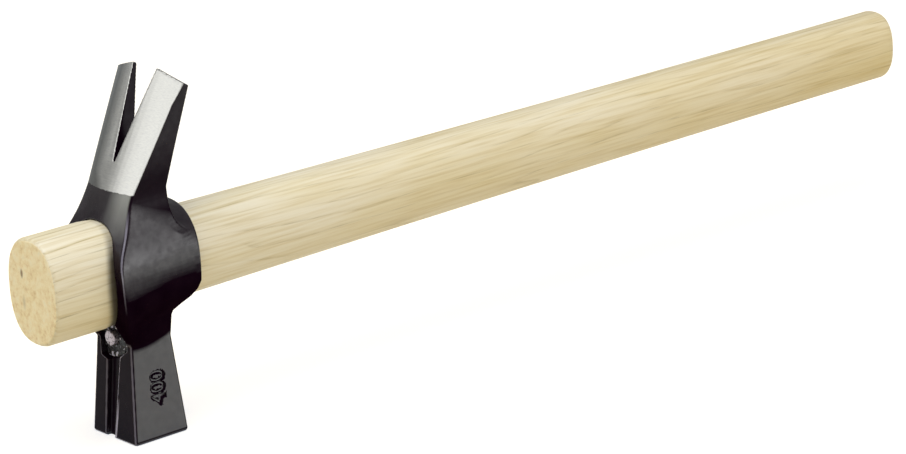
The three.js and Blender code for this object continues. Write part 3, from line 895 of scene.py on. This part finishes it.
with_fibre = add_node(
    tree,
    "Mix",
    {"Factor": 0.7, 6: wood_ground.outputs[0], 7: fibre_tone.outputs[0]},
    data_type="RGBA",
    blend_type="MULTIPLY",
)
# The stub was sanded less than the shaft, so its grain is stronger
place = add_node(tree, "SeparateXYZ", {0: in_mm})
grain_strength = add_node(
    tree,
    "MapRange",
    {"Value": place.outputs["X"], "From Min": -12, "From Max": 20, "To Min": 0.5, "To Max": 0.3},
)
# The dark bands of the rings fade in and out along the grain
streak_place = add_node(
    tree, "VectorMath", {0: in_mm, 1: scale_for(28.6, 2, 2)}, operation="MULTIPLY"
)
streak = add_node(tree, "TexNoise", {"Vector": streak_place.outputs[0], "Scale": 1, "Detail": 2})
streak_strength = add_node(
    tree,
    "MapRange",
    {"Value": streak.outputs["Fac"], "From Min": 0.38, "From Max": 0.62, "To Min": 0.3, "To Max": 1.5},
)
uneven_bands = add_node(
    tree, "Math", {0: early_wood.outputs[0], 1: streak_strength.outputs[0]}, operation="MULTIPLY"
)
band_strength = add_node(
    tree, "Math", {0: uneven_bands.outputs[0], 1: grain_strength.outputs[0]}, operation="MULTIPLY"
)
with_bands = add_node(
    tree,
    "Mix",
    {"Factor": band_strength.outputs[0], 6: with_fibre.outputs[2], 7: linear(RING_BROWN)},
    data_type="RGBA",
)
pore_strength = add_node(
    tree, "Math", {0: open_pores.outputs[0], 1: grain_strength.outputs[0]}, operation="MULTIPLY"
)
with_pores = add_node(
    tree,
    "Mix",
    {"Factor": pore_strength.outputs[0], 6: with_bands.outputs[2], 7: linear(PORE_BROWN)},
    data_type="RGBA",
)
# The grip is a little yellower than the head end
yellowing = add_node(
    tree, "MapRange", {"Value": place.outputs["X"], "From Min": 40, "From Max": 380, "To Max": 0.5}
)
with_yellow = add_node(
    tree,
    "Mix",
    {"Factor": yellowing.outputs[0], 6: with_pores.outputs[2], 7: linear(GRIP_YELLOW)},
    data_type="RGBA",
    blend_type="MULTIPLY",
)
# Painted contact shade, with some soiling by lacquer and oil, darkens the wood where it goes into the
# eye, least on the stub's top
mouth_height = add_node(tree, "Math", {0: place.outputs["Z"], 1: MOUTH_MIDDLE}, operation="SUBTRACT")
height_square = add_node(
    tree, "Math", {0: mouth_height.outputs[0], 1: mouth_height.outputs[0]}, operation="MULTIPLY"
)
mouth_place = add_node(
    tree,
    "Math",
    {0: height_square.outputs[0], 1: MOUTH_CURVE, 2: EYE_FRONT},
    operation="MULTIPLY_ADD",
)
before_mouth = add_node(
    tree, "Math", {0: mouth_place.outputs[0], 1: place.outputs["X"]}, operation="SUBTRACT"
)
mouth_shade_and_soil = add_node(
    tree,
    "MapRange",
    {"Value": before_mouth.outputs[0], "From Min": 3.8, "From Max": 0.4, "To Max": 0.9},
    interpolation_type="SMOOTHSTEP",
)
shade_and_soil_low = add_node(
    tree, "MapRange", {"Value": place.outputs["Z"], "From Min": 82, "From Max": 72, "To Min": 0.25}
)
shade_and_soil_front = add_node(
    tree, "MapRange", {"Value": place.outputs["X"], "From Min": -2, "From Max": -8}
)
shade_and_soil = mouth_shade_and_soil
for part in (shade_and_soil_low, shade_and_soil_front):
    shade_and_soil = add_node(tree, "Math", {0: shade_and_soil.outputs[0], 1: part.outputs[0]}, operation="MULTIPLY")
with_shade_and_soil = add_node(
    tree,
    "Mix",
    {"Factor": shade_and_soil.outputs[0], 6: with_yellow.outputs[2], 7: linear(SHADE_AND_SOIL_BROWN)},
    data_type="RGBA",
)
# Sawn end grain soaks up the varnish, so it is yellower and speckled, and it is painted lighter than the
# shaft as painted light on the ends. The stub has a dark and a faint knot.
surface = add_node(tree, "NewGeometry")
normal_parts = add_node(tree, "SeparateXYZ", {0: surface.outputs["Normal"]})
end_facing = add_node(tree, "Math", {0: normal_parts.outputs["X"]}, operation="ABSOLUTE")
end_grain_share = add_node(
    tree,
    "MapRange",
    {"Value": end_facing.outputs[0], "From Min": 0.75, "From Max": 0.95, "To Max": 0.8},
)
speckle = add_node(
    tree, "TexNoise", {"Vector": in_mm, "Scale": 1 / SPECKLE_WIDTH, "Detail": 4, "Roughness": 0.62}
)
end_grain_and_painted_light = add_node(
    tree,
    "ValToRGB",
    {"Fac": speckle.outputs["Fac"]},
    stops=[(0.32, "e6ca94"), (0.45, "f8e5b6"), (0.6, "fff2cc"), (0.7, "f9eece")],
)
with_painted_light_ends = add_node(
    tree,
    "Mix",
    {"Factor": end_grain_share.outputs[0], 6: with_shade_and_soil.outputs[2], 7: end_grain_and_painted_light.outputs[0]},
    data_type="RGBA",
)
knot_from = add_node(tree, "VectorMath", {0: in_mm, 1: DARK_KNOT}, operation="SUBTRACT")
knot_shape = add_node(
    tree, "VectorMath", {0: knot_from.outputs[0], 1: scale_for(3.33, 1.11, 2.38)}, operation="MULTIPLY"
)
knot_distance = add_node(tree, "VectorMath", {0: knot_shape.outputs[0]}, operation="LENGTH")
knot = add_node(
    tree,
    "MapRange",
    {"Value": knot_distance.outputs["Value"], "From Min": 0.9, "From Max": 0.35, "To Max": 0.8},
)
faint_from = add_node(tree, "VectorMath", {0: in_mm, 1: FAINT_KNOT}, operation="SUBTRACT")
faint_shape = add_node(
    tree, "VectorMath", {0: faint_from.outputs[0], 1: scale_for(3.33, 1.25, 3.33)}, operation="MULTIPLY"
)
faint_distance = add_node(tree, "VectorMath", {0: faint_shape.outputs[0]}, operation="LENGTH")
faint_knot = add_node(
    tree,
    "MapRange",
    {"Value": faint_distance.outputs["Value"], "From Min": 1, "From Max": 0.2, "To Max": 0.3},
)
both_knots = add_node(
    tree, "Math", {0: knot.outputs[0], 1: faint_knot.outputs[0]}, operation="MAXIMUM"
)
with_knot = add_node(
    tree,
    "Mix",
    {"Factor": both_knots.outputs[0], 6: with_painted_light_ends.outputs[2], 7: linear(KNOT_BROWN)},
    data_type="RGBA",
)
# Open pores are 0.05 mm deep and the fibres stand up by 0.03 mm. The varnish sinks into the pores, so
# they are duller.
pore_depth = add_node(tree, "Math", {0: open_pores.outputs[0], 1: -0.05}, operation="MULTIPLY")
wood_relief = add_node(
    tree,
    "Math",
    {0: fibre.outputs["Fac"], 1: 0.03, 2: pore_depth.outputs[0]},
    operation="MULTIPLY_ADD",
)
bump = add_node(tree, "Bump", {"Height": wood_relief.outputs[0], "Distance": MM, "Strength": 0.7})
wood_roughness = add_node(
    tree, "MapRange", {"Value": open_pores.outputs[0], "To Min": 0.5, "To Max": 0.72}
)
wood = add_node(
    tree,
    "BsdfPrincipled",
    {
        "Base Color": with_knot.outputs[2],
        "Roughness": wood_roughness.outputs[0],
        "IOR": 1.45,
        "Normal": bump.outputs[0],
    },
)
add_node(tree, "OutputMaterial", {"Surface": wood.outputs[0]})
handle.data.materials.append(ash)
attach(handle, "root")
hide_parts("handle")


# Magnet: a sintered slug with a nickel skin, set in the pocket above the nail groove to hold a nail.
# Its rim is rounded, and smears of black adhesive are left on its face.

# How big the faces of its skin are, and how often it is smoothed
MAGNET_VOXEL = 0.12 * MM
MAGNET_PASSES = 3

magnet = rounded_copy("nail_magnet", "magnet", MAGNET_VOXEL, MAGNET_PASSES)
shade_smooth(magnet)

# Nickel plating: grey metal of half gloss, with dark glossy smears of adhesive over it
SMEAR_WIDTH = 1.333
NICKEL_GREY = "bcb0b6"
SMEAR_BLACK = "2a2128"
nickel, tree = new_material("nickel_plated_magnet")
in_mm = place_in_mm(tree)
smear = add_node(
    tree,
    "TexNoise",
    {"Vector": in_mm, "Scale": 1 / SMEAR_WIDTH, "Detail": 5, "Roughness": 0.7, "Distortion": 1},
)
smeared = add_node(
    tree, "MapRange", {"Value": smear.outputs["Fac"], "From Min": 0.5, "From Max": 0.6}
)
colour = add_node(
    tree,
    "Mix",
    {"Factor": smeared.outputs[0], 6: linear(NICKEL_GREY), 7: linear(SMEAR_BLACK)},
    data_type="RGBA",
)
bare = add_node(tree, "Math", {0: 1, 1: smeared.outputs[0]}, operation="SUBTRACT")
roughness = add_node(
    tree, "MapRange", {"Value": smeared.outputs[0], "To Min": 0.38, "To Max": 0.2}
)
bump = add_node(
    tree, "Bump", {"Height": smear.outputs["Fac"], "Distance": 0.6 * MM, "Strength": 0.8}
)
plating = add_node(
    tree,
    "BsdfPrincipled",
    {
        "Base Color": colour.outputs[2],
        "Metallic": bare.outputs[0],
        "Roughness": roughness.outputs[0],
        "Normal": bump.outputs[0],
    },
)
add_node(tree, "OutputMaterial", {"Surface": plating.outputs[0]})
magnet.data.materials.append(nickel)
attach(magnet, "root")
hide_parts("magnet")


# Adhesive: black epoxy pressed round the magnet by hand. It fills the pocket, stands out in glossy
# lumps where it squeezed past the magnet, and shines where it ran smooth.

# How big the faces of its skin are, and how often it is smoothed
ADHESIVE_VOXEL = 0.14 * MM
ADHESIVE_PASSES = 3

adhesive = rounded_copy("magnet_adhesive_bead", "magnet_adhesive", ADHESIVE_VOXEL, ADHESIVE_PASSES)
shade_smooth(adhesive)

# Cured epoxy: glossy and almost black, with small lumps, the highest of them a little paler and duller
LUMP_WIDTH = 1.43
GLINT_SPACING = 1.54
PAINTED_GLINT_GREY = "dcdcf8"
epoxy, tree = new_material("black_epoxy_adhesive")
in_mm = place_in_mm(tree)
lumps = add_node(tree, "TexNoise", {"Vector": in_mm, "Scale": 1 / LUMP_WIDTH, "Detail": 4})
colour = add_node(
    tree,
    "ValToRGB",
    {"Fac": lumps.outputs["Fac"]},
    stops=[(0.35, "0b070b"), (0.6, "171116"), (0.75, "2c242a")],
)
# Pale flecks about 0.8 mm across are painted on it: painted glints where its lumps catch the light
glint_noise = add_node(tree, "TexNoise", {"Vector": in_mm, "Scale": 1 / GLINT_SPACING, "Detail": 0})
painted_glint = add_node(
    tree, "MapRange", {"Value": glint_noise.outputs["Fac"], "From Min": 0.61, "From Max": 0.66}
)
with_painted_glints = add_node(
    tree,
    "Mix",
    {"Factor": painted_glint.outputs[0], 6: colour.outputs[0], 7: linear(PAINTED_GLINT_GREY)},
    data_type="RGBA",
)
roughness = add_node(
    tree,
    "MapRange",
    {"Value": lumps.outputs["Fac"], "From Min": 0.35, "From Max": 0.7, "To Min": 0.12, "To Max": 0.35},
)
bump = add_node(
    tree, "Bump", {"Height": lumps.outputs["Fac"], "Distance": 1.6 * MM, "Strength": 1}
)
resin = add_node(
    tree,
    "BsdfPrincipled",
    {
        "Base Color": with_painted_glints.outputs[2],
        "Roughness": roughness.outputs[0],
        "Normal": bump.outputs[0],
    },
)
add_node(tree, "OutputMaterial", {"Surface": resin.outputs[0]})
adhesive.data.materials.append(epoxy)
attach(adhesive, "root")
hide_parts("magnet_adhesive")


# Studio: a white matt floor under the striking face, a large soft lamp overhead, one on the left for the
# claws' ground front, a low wide one on the right that gives the lacquer its grey gloss, and an even pale
# room. The camera stands where the photograph was taken from, with a long lens.

# The floor reaches this far each way, in metres
FLOOR_REACH = 20

floor_mesh = bpy.data.meshes.new("floor")
sides = [(-1, -1), (1, -1), (1, 1), (-1, 1)]
floor_mesh.from_pydata([(FLOOR_REACH * x, FLOOR_REACH * y, 0) for x, y in sides], [], [(0, 1, 2, 3)])
floor = put_in_scene("floor", floor_mesh)

# White paper: it gives off some light of its own where the camera or a reflection sees it, so that it
# shows as plain white, and the light that it throws back on the hammer is a little creamy
PAPER_GLOW = 0.86
PAPER_CREAM = "d4c5a0"
GLOW_SEEN = "e4e9f4"
GLOW_REFLECTED = "d6eaff"
paper, tree = new_material("white_paper_floor")
rays = add_node(tree, "LightPath")
seen = add_node(
    tree,
    "Math",
    {0: rays.outputs["Is Camera Ray"], 1: rays.outputs["Is Glossy Ray"]},
    operation="MAXIMUM",
)
seen_through = add_node(
    tree,
    "Math",
    {0: seen.outputs[0], 1: rays.outputs["Is Transmission Ray"]},
    operation="MAXIMUM",
)
lift = add_node(tree, "Math", {0: seen_through.outputs[0], 1: PAPER_GLOW}, operation="MULTIPLY")
cast = add_node(
    tree,
    "Mix",
    {"Factor": rays.outputs["Is Glossy Ray"], 6: linear(GLOW_SEEN), 7: linear(GLOW_REFLECTED)},
    data_type="RGBA",
)
matt = add_node(
    tree,
    "BsdfPrincipled",
    {
        "Base Color": linear(PAPER_CREAM),
        "Roughness": 0.9,
        "Specular IOR Level": 0.1,
        "Emission Color": cast.outputs[2],
        "Emission Strength": lift.outputs[0],
    },
)
add_node(tree, "OutputMaterial", {"Surface": matt.outputs[0]})
floor_mesh.materials.append(paper)


def add_lamp(name, spot, aim, width, height, power):
    """A soft rectangular lamp at a spot, turned to its aim, in metres. Its power is in watts."""
    light = bpy.data.lights.new(name, "AREA")
    light.shape = "RECTANGLE"
    light.size = width
    light.size_y = height
    light.energy = power
    lamp = put_in_scene(name, light)
    lamp.location = spot
    lamp.rotation_euler = (Vector(aim) - Vector(spot)).to_track_quat("-Z", "Y").to_euler()


add_lamp("top_lamp", spot=(-0.35, -0.35, 1.7), aim=(0.1, 0, 0.06), width=1.3, height=1.3, power=24)
add_lamp("claw_lamp", spot=(-1.2, 0.47, 0.72), aim=(-0.01, 0, 0.11), width=1.1, height=0.8, power=3.2)
add_lamp("gloss_lamp", spot=(0.7, -1, 0.2), aim=(0, 0, 0.06), width=0.9, height=0.36, power=3.4)

# The room is even and white, and dim enough for the lamps to shape the hammer
room = bpy.data.worlds.new("room")
room.use_nodes = True
room.node_tree.nodes["Background"].inputs["Color"].default_value = linear("ffffff")
room.node_tree.nodes["Background"].inputs["Strength"].default_value = 0.3
bpy.context.scene.world = room
bpy.context.scene.view_settings.view_transform = "Standard"

# The camera's place and how far it sees are in metres, its lens in millimetres, and its turns in degrees:
# its heading to the right of +Y, its drop below level, and its roll
CAMERA_PLACE = (-0.74361, -1.06004, 0.48238)
CAMERA_HEADING = 40.202
CAMERA_DROP = 17.678
CAMERA_ROLL = -2.748
CAMERA_SIGHT = 60
LENS_LENGTH = 150.97
lens = bpy.data.cameras.new("camera")
lens.sensor_width = 36
lens.lens = LENS_LENGTH
lens.clip_end = CAMERA_SIGHT
camera = put_in_scene("camera", lens)
camera.matrix_world = (
    Matrix.Translation(CAMERA_PLACE)
    @ Matrix.Rotation(math.radians(-CAMERA_HEADING), 4, "Z")
    @ Matrix.Rotation(math.radians(90 - CAMERA_DROP), 4, "X")
    @ Matrix.Rotation(math.radians(CAMERA_ROLL), 4, "Z")
)
bpy.context.scene.camera = camera

bpy.context.view_layer.update()
